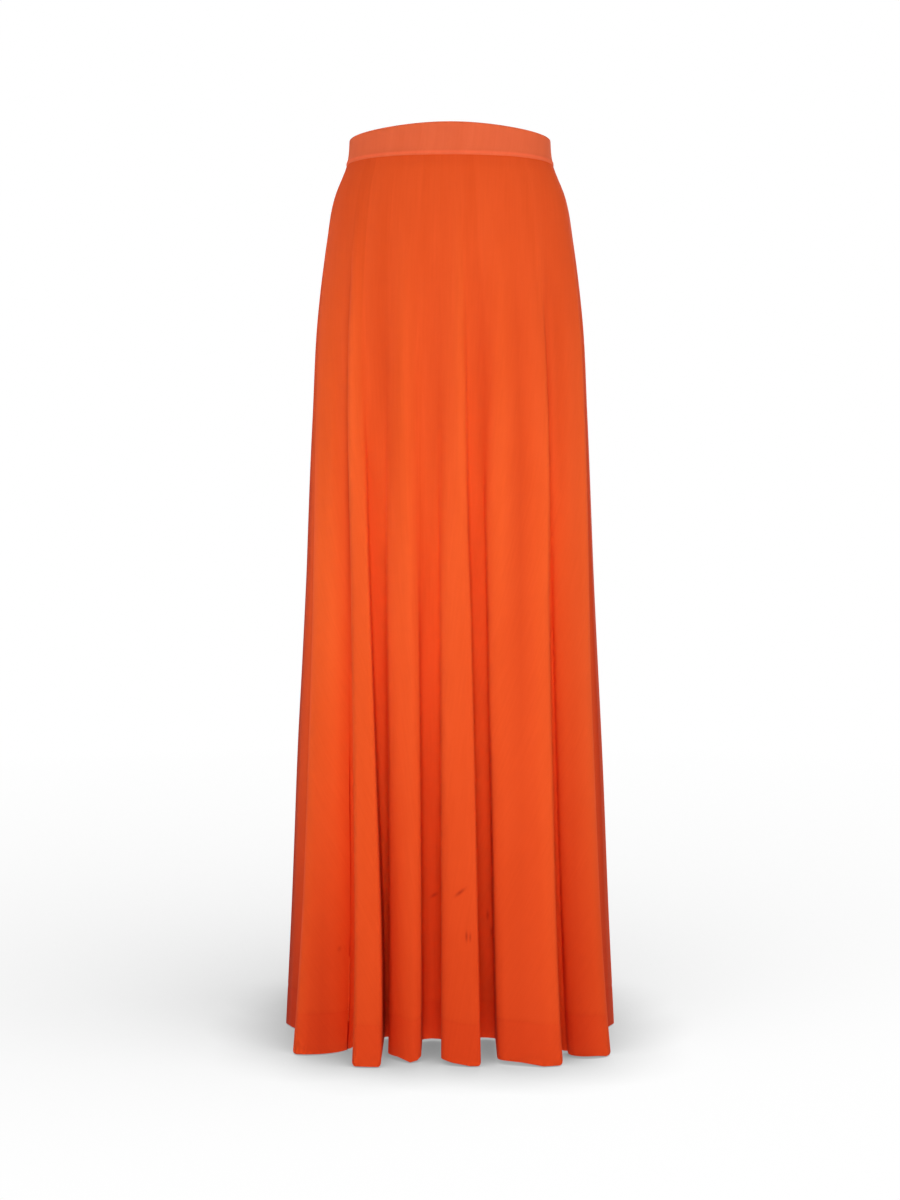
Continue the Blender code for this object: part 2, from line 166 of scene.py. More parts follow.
# Painted shade (below 0) and painted highlight (above 0) in the cloth's colour: rows like those of CREASES,
# with an amount in the height's place.
PAINTED_SHADES = (
    (0.00, 0.01, 0.05, 1.50, 0.008, -2.2),
    (0.03, 0.03, 0.08, 0.80, 0.006, -1.2),
    (0.04, 0.05, 0.74, 1.50, 0.014, -2.0),
    (0.98, 0.98, 0.20, 1.60, 0.010, 1.3),
    (1.12, 1.10, 0.06, 0.90, 0.030, 1.5),
    (1.09, 1.11, 0.50, 1.60, 0.022, -1.2),
    (1.24, 1.24, 0.50, 1.60, 0.022, 2.4),
    (1.46, 1.42, 0.08, 0.66, 0.005, -2.0),
    (2.00, 2.00, 0.12, 1.20, 0.016, 0.8),
    (2.30, 2.30, 0.50, 1.50, 0.012, 1.6),
    (2.66, 2.76, 0.24, 0.90, 0.010, 0.8),
    (3.46, 3.50, 0.70, 1.50, 0.016, 1.6),
    (3.62, 3.64, 0.30, 1.10, 0.006, 0.9),
    (4.50, 4.50, 0.50, 1.40, 0.016, 1.2),
    (4.98, 4.98, 0.14, 1.40, 0.016, -0.5),
    (5.05, 5.05, 0.25, 1.40, 0.012, 0.9),
    (5.74, 5.30, 0.10, 0.48, 0.005, -1.6),
    (5.86, 5.86, 0.40, 1.30, 0.022, -1.1),
    (6.08, 6.06, 0.10, 1.60, 0.016, 1.3),
    (6.97, 6.96, 0.02, 1.20, 0.012, -2.4),
)
SHADED_HEIGHT = 0.0040  # the height of a crease that is painted the palest, with painted shade in its trough
SEAM_HOLLOW_SHADOW = 0.7  # how deep the painted shadow looks in the hollow under the waistband, and where that lies
SEAM_HOLLOW_DOWN, SEAM_HOLLOW_HALF = 0.003, 0.0055

# Slight unevenness all round: this many faint creases, within these limits, from one seed.
FAINT_CREASES, FAINT_SEED = 220, 5
FAINT_LENGTH = (0.10, 0.45)
FAINT_HALF_WIDTH = (0.0025, 0.008)
FAINT_HEIGHT = 0.0006
FAINT_DRIFT = 0.04  # how far one drifts sideways over its length, in folds
FAINT_BELOW = 0.26  # the share of the length above which they fade away, towards the smooth hips

# The cloth dips where it is sewn: along the side seams, and where the free edge of the hem is caught down.
SEAM_DIP, SEAM_DIP_HALF = 0.0007, 0.0022
HEM_DIP, HEM_DIP_HALF = 0.0003, 0.0016
DIP_PAINTED_SHADE = 0.30  # how deep the painted shade looks in the hem's dip
PRICK_APART, PRICK_LONG, PRICK_DEEP = 0.0090, 0.0008, 0.00025  # the pricks of the hem's blind stitches

STEPS = 14  # columns from a ridge to the next valley
LEAST_PART = 1e-9  # of a fold's section, so that a part with no length divides nothing by 0
FALL_STEP = 0.0022  # mean width of a column half way down
LEVELS_DOWN, HEM_LEVELS, EDGE_LEVELS = 120, 22, 6  # down to the hem, on it and round the fold at its edge
LEVEL_GAP = 0.004  # the share of the length from the last level down to the first on the hem


def through(places, values, x):
    """A smooth curve through points: the cubic from each point to the next that keeps the slope at both."""
    slopes = np.gradient(values, places)
    i = np.clip(np.searchsorted(places, x) - 1, 0, len(places) - 2)
    span = places[i + 1] - places[i]
    u = np.clip((x - places[i]) / span, 0.0, 1.0)
    leaving = (1 + 2 * u) * (1 - u) ** 2 * values[i] + u * (1 - u) ** 2 * span * slopes[i]
    arriving = u**2 * (3 - 2 * u) * values[i + 1] + u**2 * (u - 1) * span * slopes[i + 1]
    return leaving + arriving


def unit(vectors):
    """Vectors over their own lengths."""
    return vectors / np.linalg.norm(vectors, axis=-1, keepdims=True)


def bell(off, half):
    """A bell that is 1 at no distance: e to minus the square of the distance over its half width."""
    return np.exp(-((off / half) ** 2))


def outline(angle, below):
    """The outline's (x, y) at radius (|sin / half width|^square + |cos / reach|^square)^(-1 / square)."""
    table = dict(zip(OUTLINE_COLUMNS, np.array(OUTLINE).T))
    curves = (through(table["below"], table[key], below) for key in OUTLINE_COLUMNS[1:])
    half_width, front, back, square = curves
    across, ahead = np.sin(np.radians(angle)), np.cos(np.radians(angle))
    reach = np.where(ahead > 0, front, back)
    radius = (np.abs(across / half_width) ** square + np.abs(ahead / reach) ** square) ** (-1 / square)
    return np.stack([radius * across, -radius * ahead], axis=-1)


def drawn_in(angle, point):
    """The direction a fold draws the cloth in: back, and more sideways by a power of the angle's sine."""
    sideways = SIDEWAYS_AT_SEAM * np.sin(np.radians(angle)) ** SIDEWAYS_SPREAD
    return unit(np.stack([-sideways * point[..., 0], -point[..., 1]], axis=-1))


def rising(side, middle, angle):
    """A height that is `side` at the side seams and `middle` at the centre front and back, by cos^2."""
    return side + (middle - side) * np.cos(np.radians(angle)) ** 2


def half_fold(width, depth, floor, foot, top, slant, even):
    """A fold's section from ridge (0, 0) to valley (1, 1): a flat, an arc, a wall, an arc and a flat.

    Both arcs turn by arccos(1 - depth / the sum of their radii), upright at most. The points are spread
    half by length and half by how much the cloth turns. A share `slant` of the depth is a slope instead, by
    across to the power SLOPE_EASE.
    """
    ridge_bend = np.minimum(top, width - floor)
    floor_bend = np.minimum(foot, floor)
    bends = ridge_bend + floor_bend
    slope = np.arccos(np.maximum(1 - depth / bends, 0.0))
    wall = np.maximum(depth - bends, 0.0)
    ridge_flat = width - floor - ridge_bend * np.sin(slope)
    floor_flat = floor - floor_bend * np.sin(slope)
    lengths = np.stack([ridge_flat, ridge_bend * slope, wall, floor_bend * slope, floor_flat])
    turns = np.array([0.0, 0.5, 0.0, 0.5, 0.0])[:, None, None]
    parts = np.maximum((lengths / lengths.sum(axis=0) + turns) / 2, LEAST_PART)
    ends = np.cumsum(parts, axis=0)
    on_ridge, over, down, under, on_floor = np.clip((even - ends + parts) / parts, 0, 1)
    left_to_turn = slope * (1 - under)
    across = ridge_flat * on_ridge + ridge_bend * np.sin(slope * over) + floor_flat * on_floor
    across += floor_bend * (np.sin(slope) - np.sin(left_to_turn))
    inward = ridge_bend * (1 - np.cos(slope * over)) + wall * down
    inward += floor_bend * (np.cos(left_to_turn) - np.cos(slope))
    across, inward = across / width, inward / depth
    return across, inward * (1 - slant) + slant * across**SLOPE_EASE


def grown(shares, start, growth):
    """How far a fold has grown: the share of the way from its start to the hem, to the power `growth`."""
    return np.clip((shares - start) / (1 - start), 0, 1) ** growth


def bend_radius(wall, end, start, shares):
    """The radius at a wall's foot or top: it tightens from UNFORMED_BEND to its own by (1 - formed)^2."""
    formed = np.clip((shares - start) / (wall["full"] - start), 0, 1)
    return wall[end] + max(UNFORMED_BEND - wall[end], 0.0) * (1 - formed) ** 2


def wall_angle(wall, shares):
    """A wall's angle, from its waist angle to its hem angle by (1 - share) to the power FOLD_LEAN."""
    return wall["hem"] + (wall["waist"] - wall["hem"]) * (1 - shares) ** FOLD_LEAN


def crest_angle(before, after, shares):
    """The angle of the ridge between two walls: it lies nearer to the one with the tighter top."""
    towards = before["top"] / (before["top"] + after["top"])
    return wall_angle(before, shares) * (1 - towards) + wall_angle(after, shares) * towards


def ridge_to_valley(shares, ridge_angle, ridge_in, fold, side, even):
    """Points from a ridge to a valley, levels by columns: the outline, drawn in by the half fold's depth."""
    wall = fold[side]
    edge_angle = wall_angle(wall, shares)
    valley_angle = (wall_angle(fold["left"], shares) + wall_angle(fold["right"], shares)) / 2
    below = SEAM_AT_SIDE + (HEM_BELOW - SEAM_AT_SIDE) * shares
    ridge_place, valley_place = outline(ridge_angle, below), outline(valley_angle, below)
    chord = valley_place - ridge_place
    pull = drawn_in((ridge_angle + valley_angle) / 2, (ridge_place + valley_place) / 2)
    width = np.abs(chord[..., 0] * pull[..., 1] - chord[..., 1] * pull[..., 0])
    floor = width * (valley_angle - edge_angle) / (valley_angle - ridge_angle)
    ridge_depth = ridge_in * grown(shares, RIDGE_START, RIDGE_GROWTH)
    depth = fold["deep"] * grown(shares, fold["start"], fold["growth"]) - ridge_depth
    depth = np.maximum(depth, width * FLATTEST)
    foot, top = (bend_radius(wall, end, fold["start"], shares) for end in ("foot", "top"))
    across, inward = half_fold(width, depth, floor, foot, top, wall["slant"], even)
    angle = ridge_angle + (valley_angle - ridge_angle) * across
    edge = outline(angle, below)
    in_fold = depth * inward
    place = edge + drawn_in(angle, edge) * (ridge_depth + in_fold)[..., None]
    highest = -rising(SEAM_AT_SIDE, SEAM_AT_MIDDLE, angle)
    height = highest + (-HEM_BELOW - highest) * shares
    rise = HEM_RISE * (1 - wall["slant"]) * grown(shares, HEM_RISE_START, HEM_RISE_GROWTH)
    height += rise * (1 - bell(in_fold, HEM_RISE_WITHIN)) * np.exp(-in_fold / HEM_RISE_FADES)
    return np.concatenate([place, height[..., None]], axis=-1)


def folded_surface(shares):
    """The whole skirt, levels by columns, from the seam on -X round to it again: half folds, end to end."""
    even = np.linspace(0, 1, STEPS + 1)[None, :]
    folds = [dict(zip(FOLD_COLUMNS, row)) for row in FRONT_FOLDS + BACK_FOLDS]
    for fold in folds:
        fold["left"], fold["right"] = (dict(zip(WALL_COLUMNS, fold[side])) for side in ("left", "right"))
    crests = [crest_angle(fold["right"], after["left"], shares) for fold, after in zip(folds, folds[1:])]
    last = folds[-1]
    last_wall = {**last["right"], "waist": last["right"]["waist"] - 360, "hem": last["right"]["hem"] - 360}
    seam = crest_angle(last_wall, folds[0]["left"], shares)
    ridges = [seam, *crests, seam + 360]
    stretches = []
    for fold, before, left_ridge, right_ridge in zip(folds, [last, *folds], ridges, ridges[1:]):
        left = ridge_to_valley(shares, left_ridge, before["next_ridge_in"], fold, "left", even)
        right = ridge_to_valley(shares, right_ridge, fold["next_ridge_in"], fold, "right", even)
        stretches += [left[:, :-1], right[:, :0:-1]]
    around = np.concatenate(stretches, axis=1)
    return np.concatenate([around, around[:, :1]], axis=1)


def round_normals(points):
    """Unit normals of a grid whose last column meets its first: down the cloth, crossed with round it."""
    wide = np.concatenate([points[:, -2:-1], points, points[:, 1:2]], axis=1)
    return unit(np.cross(np.gradient(points, axis=0), wide[:, 2:] - wide[:, :-2]))


def lengths_along(points, axis):
    """Distance from the first point, along rows (axis 1) or columns (axis 0) of a grid."""
    steps = np.linalg.norm(np.diff(points, axis=axis), axis=-1)
    start = np.zeros_like(steps[:, :1] if axis == 1 else steps[:1])
    return np.concatenate([start, np.cumsum(steps, axis=axis)], axis=axis)


def faint_creases(folds):
    """Rows like those of CREASES, at random places round the folds and down the skirt."""
    chance = np.random.default_rng(FAINT_SEED)
    place = chance.uniform(0, folds, FAINT_CREASES)
    begins = chance.uniform(0.0, 1.0, FAINT_CREASES)
    ends = begins + chance.uniform(*FAINT_LENGTH, FAINT_CREASES)
    half_width = chance.uniform(*FAINT_HALF_WIDTH, FAINT_CREASES)
    height = chance.normal(0.0, FAINT_HEIGHT, FAINT_CREASES)
    drift = chance.normal(0.0, FAINT_DRIFT, FAINT_CREASES)
    return np.stack([place, place + drift, begins, ends, half_width, height], axis=-1)


def crease_heights(points, shares, creases):
    """How far the creases raise the cloth: the sum of a bell across each one, times a sine over its length.

    The distance from a crease is taken the shorter way round the skirt, so the last column equals the first.
    """
    across = lengths_along(points, 1)
    fold_of_column = np.arange(points.shape[1]) / (2 * STEPS)
    raised = np.zeros(points.shape[:2])
    for row in creases:
        crease = dict(zip(CREASE_COLUMNS, row))
        along = np.clip((shares[:, 0] - crease["begins"]) / (crease["ends"] - crease["begins"]), 0, 1)
        rows = np.flatnonzero((along > 0) & (along < 1))
        where = crease["from_fold"] + (crease["to_fold"] - crease["from_fold"]) * along[rows]
        lines = across[rows]
        middle = [np.interp(place, fold_of_column, line) for place, line in zip(where, lines)]
        off = lines - np.array(middle)[:, None]
        off -= lines[:, -1:] * np.round(off / lines[:, -1:])
        rise = crease["height"] * bell(off, crease["half_width"])
        raised[rows] += rise * np.sin(np.pi * along[rows])[:, None]
    return raised


def turned_up(points, turned_rows):
    """The cloth with its hem: down to the last row, half round a small circle, and up again inside."""
    normals = round_normals(points)
    downward = unit(points[-1] - points[-2])
    half_turn = np.linspace(0, math.pi, EDGE_LEVELS + 1)[1:, None, None]
    edge = points[-1] + downward * HEM_FOLD * np.sin(half_turn)
    edge -= normals[-1] * HEM_FOLD * (1 - np.cos(half_turn))
    back_up = points[-turned_rows:-1][::-1] - normals[-turned_rows:-1][::-1] * 2 * HEM_FOLD
    return np.concatenate([points, edge, back_up])


def piece_of(mesh, material):
    """The object for a mesh, which gives it its name, with smooth faces of one material."""
    mesh.shade_smooth()
    mesh.materials.append(material)
    piece = bpy.data.objects.new(mesh.name, mesh)
    bpy.context.scene.collection.objects.link(piece)
    return piece


def cloth_mesh(name, outer, normals, thickness, cut, fall, material, **shades):
    """A thin closed shell: a grid of outer points, the grid moved in by the thickness, and a rim round both.

    Two UV maps are in metres: `cut` is the distance across and along the cloth, and `fall` follows its
    folds. Each of the shades is an attribute of that name, with a number for every point.
    """
    rows, columns = outer.shape[:2]
    count = rows * columns
    points = np.concatenate([outer.reshape(-1, 3), (outer - normals * thickness).reshape(-1, 3)])
    grid = np.arange(count).reshape(rows, columns)
    edge = np.concatenate([grid[0, :-1], grid[:-1, -1], grid[-1, :0:-1], grid[:0:-1, 0]])
    beside = np.roll(edge, -1)
    skin = np.stack([grid[:-1, :-1], grid[1:, :-1], grid[1:, 1:], grid[:-1, 1:]], axis=-1).reshape(-1, 4)
    rim = np.stack([edge, beside, beside + count, edge + count], axis=-1)
    faces = np.concatenate([skin, skin[:, ::-1] + count, rim])
    mesh = bpy.data.meshes.new(name)
    mesh.vertices.add(len(points))
    mesh.vertices.foreach_set("co", points.astype(np.float32).ravel())
    mesh.loops.add(faces.size)
    mesh.loops.foreach_set("vertex_index", faces.ravel().astype(np.int32))
    mesh.polygons.add(len(faces))
    mesh.polygons.foreach_set("loop_start", np.arange(0, faces.size, 4, dtype=np.int32))
    mesh.update(calc_edges=True)
    for title, sides in (("cut", cut), ("fall", fall)):
        flat = np.tile(np.stack(np.broadcast_arrays(*sides), axis=-1).reshape(-1, 2), (2, 1))
        uv = mesh.uv_layers.new(name=title)
        uv.data.foreach_set("uv", flat[faces.ravel()].astype(np.float32).ravel())
    for title, numbers in shades.items():
        shade = mesh.attributes.new(title, "FLOAT", "POINT")
        shade.data.foreach_set("value", np.tile(numbers.ravel(), 2).astype(np.float32))
    return piece_of(mesh, material)


# Small dark marks on the front: the place (x, z) of each, half its width and height, lean and strength.
MARK_COLUMNS = ("x", "z", "half_width", "half_height", "lean", "strength")
MARKS = (
    (-0.0180, -0.8620, 0.0036, 0.0022, 0.5, 0.70),
    (0.0110, -0.8450, 0.0050, 0.0022, 0.7, 0.85),
    (0.0180, -0.8920, 0.0013, 0.0052, 0.0, 0.80),
    (0.0220, -0.8930, 0.0012, 0.0045, 0.0, 0.65),
    (0.0428, -0.8860, 0.0016, 0.0050, 0.0, 0.60),
    (0.0470, -0.9050, 0.0013, 0.0050, 0.0, 0.55),
    (-0.1232, -0.9160, 0.0022, 0.0030, 0.3, 0.35),
)
MARK_SHADE = (0.62, 0.35, 0.5)

WALE = 0.00062  # width of one column of knit stitches
COURSE = 0.00050  # height of one row
LEG_LEAN = 1.3  # how many rows a stitch's legs rise across one column
LEG_ROUND = 0.35  # the share of a stitch's height that is round along its legs
KNIT_DEEP, KNIT_STRENGTH = 0.00012, 0.5
SLUB_DEEP, SLUB_STRENGTH = 0.0006, 0.25  # the fine streaks are a little thicker as well
# Streaks in the colour: repeats a metre across and along, detail, and share of the whole.
BROAD_STREAKS, BROAD_SHARE = (60.0, 3.5, 3.0), 0.7
FINE_STREAKS, FINE_SHARE = (420.0, 16.0, 2.0), 0.3
STREAK_DEEP, STREAK_LIGHT = 0.35, 0.65  # the sums where the colour is the deepest and the lightest
ROUGHNESS, GLOSS = 0.82, 0.05
SHEEN, SHEEN_ROUGHNESS, SHEEN_TINT = 0.02, 0.5, (1.0, 0.55, 0.35, 1.0)
DEEP_ORANGE = (0.825, 0.089, 0.0155)
LIGHT_ORANGE = (0.880, 0.104, 0.0205)
HEM_PAINTED_SHADE = (0.88, 0.62, 0.52)  # painted shade: how much deeper the colour is at the hem, where less light reaches
SHADE_FROM, SHADE_TO = 0.60, -0.10  # heights above the hem where it starts to deepen and would be done
TROUGH_PAINTED_SHADE = (0.90, 0.80, 0.80)  # painted shade in the creases' troughs, and painted highlight on their crests
CREST_PAINTED_HIGHLIGHT = (1.06, 1.15, 1.12)
# Painted bounce light: deep in a fold the colour turns redder, as light bounced between the orange folds.
DEEPEST = 0.095  # the depth in a fold where the painted bounce colour is the strongest
DEEP_PAINTED_BOUNCE = (1.10, 0.84, 0.92)
DEEP_GROWTH = 1.8  # the power by which it deepens on the way there
DOUBLED_SHADE = (0.985, 0.90, 0.92)  # the turned-up hem shows less light through it
DOUBLED_EDGE = 0.001


def give(tree, node, **inputs):
    """Fill a node's inputs, by name or number: values are set and sockets are linked."""
    for key, value in inputs.items():
        socket = node.inputs[int(key[1:]) if key[1:].isdigit() else key.replace("_", " ")]
        if isinstance(value, bpy.types.NodeSocket):
            tree.links.new(value, socket)
        else:
            socket.default_value = value


def add_node(tree, kind, settings=(), **inputs):
    """A node with its settings and inputs."""
    node = tree.nodes.new(kind)
    for key, value in dict(settings).items():
        setattr(node, key, value)
    give(tree, node, **inputs)
    return node


def maths(tree, operation, *values):
    """One sum on numbers or sockets."""
    inputs = {f"i{i}": value for i, value in enumerate(values)}
    return add_node(tree, "ShaderNodeMath", {"operation": operation}, **inputs).outputs[0]


def bell_node(tree, *offs):
    """A bell in nodes, over distances in half widths: e to minus the sum of their squares."""
    total = 0.0
    for off in offs:
        total = maths(tree, "ADD", total, maths(tree, "POWER", off, 2.0))
    return maths(tree, "EXPONENT", maths(tree, "MULTIPLY", total, -1.0))


def ranged(tree, value, start, end, low=0.0, high=1.0, way="LINEAR"):
    """`low` where the value is at `start`, `high` where it is at `end`, and the way between them."""
    inputs = {"Value": value, "From_Min": start, "From_Max": end, "To_Min": low, "To_Max": high}
    return add_node(tree, "ShaderNodeMapRange", {"interpolation_type": way}, **inputs).outputs[0]


def between(tree, factor, first, second):
    """The colour on the way from the first to the second, by a factor."""
    inputs = {"i0": factor, "i6": (*first, 1.0), "i7": (*second, 1.0)}
    return add_node(tree, "ShaderNodeMix", {"data_type": "RGBA"}, **inputs).outputs[2]


def on_cut(tree):
    """The distance across (X) and along (Y) the cloth, in metres, on its own UV map."""
    cut = add_node(tree, "ShaderNodeUVMap", {"uv_map": "cut"}).outputs[0]
    return add_node(tree, "ShaderNodeSeparateXYZ", Vector=cut).outputs


def streaks(tree, uv_map, across, along, detail):
    """Noise on one of the cloth's own UV maps. Both sizes are in repeats a metre."""
    flat = add_node(tree, "ShaderNodeUVMap", {"uv_map": uv_map}).outputs[0]
    placed = add_node(tree, "ShaderNodeMapping", Vector=flat, Scale=(across, along, 1.0)).outputs[0]
    return add_node(tree, "ShaderNodeTexNoise", Vector=placed, Scale=1.0, Detail=detail).outputs["Fac"]


def knit_height(tree):
    """Stocking stitch: legs of stitches lean to either side of a wale's middle and are round across."""
    cut = on_cut(tree)
    wales = maths(tree, "DIVIDE", cut["X"], WALE)
    courses = maths(tree, "DIVIDE", cut["Y"], COURSE)
    off_middle = maths(tree, "ABSOLUTE", maths(tree, "SUBTRACT", maths(tree, "FRACT", wales), 0.5))
    along_leg = maths(tree, "ADD", courses, maths(tree, "MULTIPLY", off_middle, LEG_LEAN))
    round_along = maths(tree, "SINE", maths(tree, "MULTIPLY", along_leg, 2 * math.pi))
    round_across = maths(tree, "ABSOLUTE", maths(tree, "SINE", maths(tree, "MULTIPLY", wales, 2 * math.pi)))
    legs = maths(tree, "ADD", maths(tree, "MULTIPLY", round_along, LEG_ROUND), 1 - LEG_ROUND)
    return maths(tree, "MULTIPLY", legs, round_across)


def mark_strength(tree):
    """How dark the marks make a point of the front: the strongest of the bells at their places."""
    place = add_node(tree, "ShaderNodeTexCoord").outputs["Object"]
    place = add_node(tree, "ShaderNodeSeparateXYZ", Vector=place).outputs
    darkest = 0.0
    for row in MARKS:
        mark = dict(zip(MARK_COLUMNS, row))
        right = maths(tree, "SUBTRACT", place["X"], mark["x"])
        up = maths(tree, "SUBTRACT", place["Z"], mark["z"])
        leaned = maths(tree, "SUBTRACT", up, maths(tree, "MULTIPLY", right, mark["lean"]))
        wide = maths(tree, "DIVIDE", right, mark["half_width"])
        high = maths(tree, "DIVIDE", leaned, mark["half_height"])
        dark = maths(tree, "MULTIPLY", bell_node(tree, wide, high), mark["strength"])
        darkest = maths(tree, "MAXIMUM", darkest, dark)
    on_front = maths(tree, "LESS_THAN", place["Y"], 0.0)
    return maths(tree, "MULTIPLY", darkest, on_front)


def multiplied(tree, colour, factor, tint):
    """A colour times a tint: a factor of 0 or less leaves it, 1 tints it and more goes on past that."""
    settings = {"data_type": "RGBA", "blend_type": "MULTIPLY", "clamp_factor": False}
    factor = maths(tree, "MAXIMUM", factor, 0.0)
    return add_node(tree, "ShaderNodeMix", settings, i0=factor, i6=colour, i7=(*tint, 1.0)).outputs[2]


def new_material(name):
    """A material, its node tree and its shader."""
    material = bpy.data.materials.new(name)
    material.use_nodes = True
    return material, material.node_tree, material.node_tree.nodes["Principled BSDF"]


def bumped(tree, height, strength, distance, **inputs):
    """The normal after a bump of some height, strength and distance."""
    inputs = {"Height": height, "Strength": strength, "Distance": distance, **inputs}
    return add_node(tree, "ShaderNodeBump", **inputs).outputs[0]


def jersey(name, deep, light):
    """Smooth matt viscose jersey: streaks of two close shades along the grain, and fine knit as bump.

    The results are the material, its node tree and its colour.
    """
    material, tree, shader = new_material(name)
    broad = streaks(tree, "fall", *BROAD_STREAKS)
    fine = streaks(tree, "cut", *FINE_STREAKS)
    parts = (maths(tree, "MULTIPLY", broad, BROAD_SHARE), maths(tree, "MULTIPLY", fine, FINE_SHARE))
    shade = ranged(tree, maths(tree, "ADD", *parts), STREAK_DEEP, STREAK_LIGHT)
    colour = between(tree, shade, deep, light)
    normal = bumped(tree, fine, SLUB_STRENGTH, SLUB_DEEP)
    normal = bumped(tree, knit_height(tree), KNIT_STRENGTH, KNIT_DEEP, Normal=normal)
    give(tree, shader, Base_Color=colour, Normal=normal, Roughness=ROUGHNESS, Specular_IOR_Level=GLOSS)
    give(tree, shader, Sheen_Weight=SHEEN, Sheen_Roughness=SHEEN_ROUGHNESS, Sheen_Tint=SHEEN_TINT)
    return material, tree, colour


def prick_depth(tree):
    """A dent for every blind stitch: minus a bell round points PRICK_APART apart, HEM_TURN up the cloth."""
    cut = on_cut(tree)
    off_stitch = maths(tree, "PINGPONG", cut["X"], PRICK_APART / 2)
    off_line = maths(tree, "SUBTRACT", cut["Y"], HEM_TURN)
    offs = [maths(tree, "DIVIDE", off, PRICK_LONG) for off in (off_stitch, off_line)]
    return maths(tree, "MULTIPLY", bell_node(tree, *offs), -1.0)


drop = HEM_BELOW - SEAM_AT_SIDE
above_hem = HEM_TURN / drop
hem_rows = np.linspace(0, 1, HEM_LEVELS)
shares = np.concatenate([
    [-TUCKED_UP / drop],
    np.linspace(0, 1 - above_hem - LEVEL_GAP, LEVELS_DOWN),
    1 - above_hem * (1 - hem_rows) - HEM_FOLD / drop,
])[:, None]
cloth = folded_surface(shares)
fold_count = len(FRONT_FOLDS) + len(BACK_FOLDS)
side_seam = 2 * STEPS * len(FRONT_FOLDS)
front_half, back_half = slice(0, side_seam + 1), slice(side_seam, None)
creases_raise = crease_heights(cloth, shares, CREASES)
shades_raise = crease_heights(cloth, shares, PAINTED_SHADES)
faint_raise = crease_heights(cloth, shares, faint_creases(fold_count)) * np.clip(shares / FAINT_BELOW, 0, 1)
from_seam = lengths_along(cloth, 1)
from_ends = np.minimum(from_seam, from_seam[:, -1:] - from_seam)
from_seam = np.minimum(np.abs(from_seam - from_seam[:, side_seam, None]), from_ends)
seam_dip = SEAM_DIP * bell(from_seam, SEAM_DIP_HALF)
hem_dip = HEM_DIP * bell((1 - shares) * drop - HEM_TURN, HEM_DIP_HALF)
cloth = cloth + round_normals(cloth) * (creases_raise + faint_raise - seam_dip - hem_dip)[..., None]
cloth = turned_up(cloth, HEM_LEVELS)
cloth_normals = round_normals(cloth)
cloth_across = lengths_along(cloth, 1)
cloth_along = lengths_along(cloth, 0)
cloth_up = cloth_along[len(shares) + EDGE_LEVELS // 2 - 1] - cloth_along
# Painted shade and highlight for the colour: on creases, in the hem's dip, the listed rows, under the
# waistband.
raised = np.zeros(cloth.shape[:2])
raised[: len(shares)] = creases_raise / SHADED_HEIGHT - DIP_PAINTED_SHADE * hem_dip / HEM_DIP + shades_raise
raised[len(shares):] = raised[len(shares) - 1]
raised -= SEAM_HOLLOW_SHADOW * bell(cloth_along - TUCKED_UP - SEAM_HOLLOW_DOWN, SEAM_HOLLOW_HALF)
at_angle = np.degrees(np.arctan2(cloth[..., 0], -cloth[..., 1]))
outermost = np.linalg.norm(outline(at_angle, -cloth[..., 2]), axis=-1)
far_in = np.clip((outermost - np.linalg.norm(cloth[..., :2], axis=-1)) / DEEPEST, 0, 1)
cloth_round = np.arange(cloth.shape[1])[None, :] * FALL_STEP

jersey_material, jersey_tree, jersey_colour = jersey("orange_jersey", DEEP_ORANGE, LIGHT_ORANGE)
near_hem = ranged(jersey_tree, on_cut(jersey_tree)["Y"], SHADE_FROM, SHADE_TO, way="SMOOTHSTEP")
doubled = ranged(
    jersey_tree, on_cut(jersey_tree)["Y"], HEM_TURN + DOUBLED_EDGE, HEM_TURN - DOUBLED_EDGE
)
height = add_node(jersey_tree, "ShaderNodeAttribute", {"attribute_name": "raised"}).outputs["Fac"]
inside_fold = add_node(jersey_tree, "ShaderNodeAttribute", {"attribute_name": "drawn_in"}).outputs["Fac"]
# Tints: painted shade near the hem and in troughs, painted highlight on crests, painted bounce deep in
# folds.
for factor, tint in (
    (near_hem, HEM_PAINTED_SHADE),
    (doubled, DOUBLED_SHADE),
    (maths(jersey_tree, "MULTIPLY", height, -1.0), TROUGH_PAINTED_SHADE),
    (height, CREST_PAINTED_HIGHLIGHT),
    (maths(jersey_tree, "POWER", inside_fold, DEEP_GROWTH), DEEP_PAINTED_BOUNCE),
    (mark_strength(jersey_tree), MARK_SHADE),
):
    jersey_colour = multiplied(jersey_tree, jersey_colour, factor, tint)
jersey_shader = jersey_tree.nodes["Principled BSDF"]
knitted = jersey_shader.inputs["Normal"].links[0].from_socket
pricked = bumped(jersey_tree, prick_depth(jersey_tree), 1.0, PRICK_DEEP, Normal=knitted)
give(jersey_tree, jersey_shader, Base_Color=jersey_colour, Normal=pricked)
for name, node, part, cut_size, cut_area in (
    ("front_panel_cloth", "front_panel", front_half, (1.35, 1.08), 0.82),
    ("back_panel_cloth", "back_panel", back_half, (1.58, 1.08), 0.91),
):
    across = cloth_across[:, part]
    across = across - across[:, across.shape[1] // 2, None]
    cut, fall = (across, cloth_up[:, part]), (cloth_round[:, part], cloth_up[:, part])
    shades = {"raised": raised[:, part], "drawn_in": far_in[:, part]}
    outer, normals = cloth[:, part], cloth_normals[:, part]
    panel = cloth_mesh(name, outer, normals, JERSEY_THICK, cut, fall, jersey_material, **shades)
    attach(panel, "root")
    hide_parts(node)

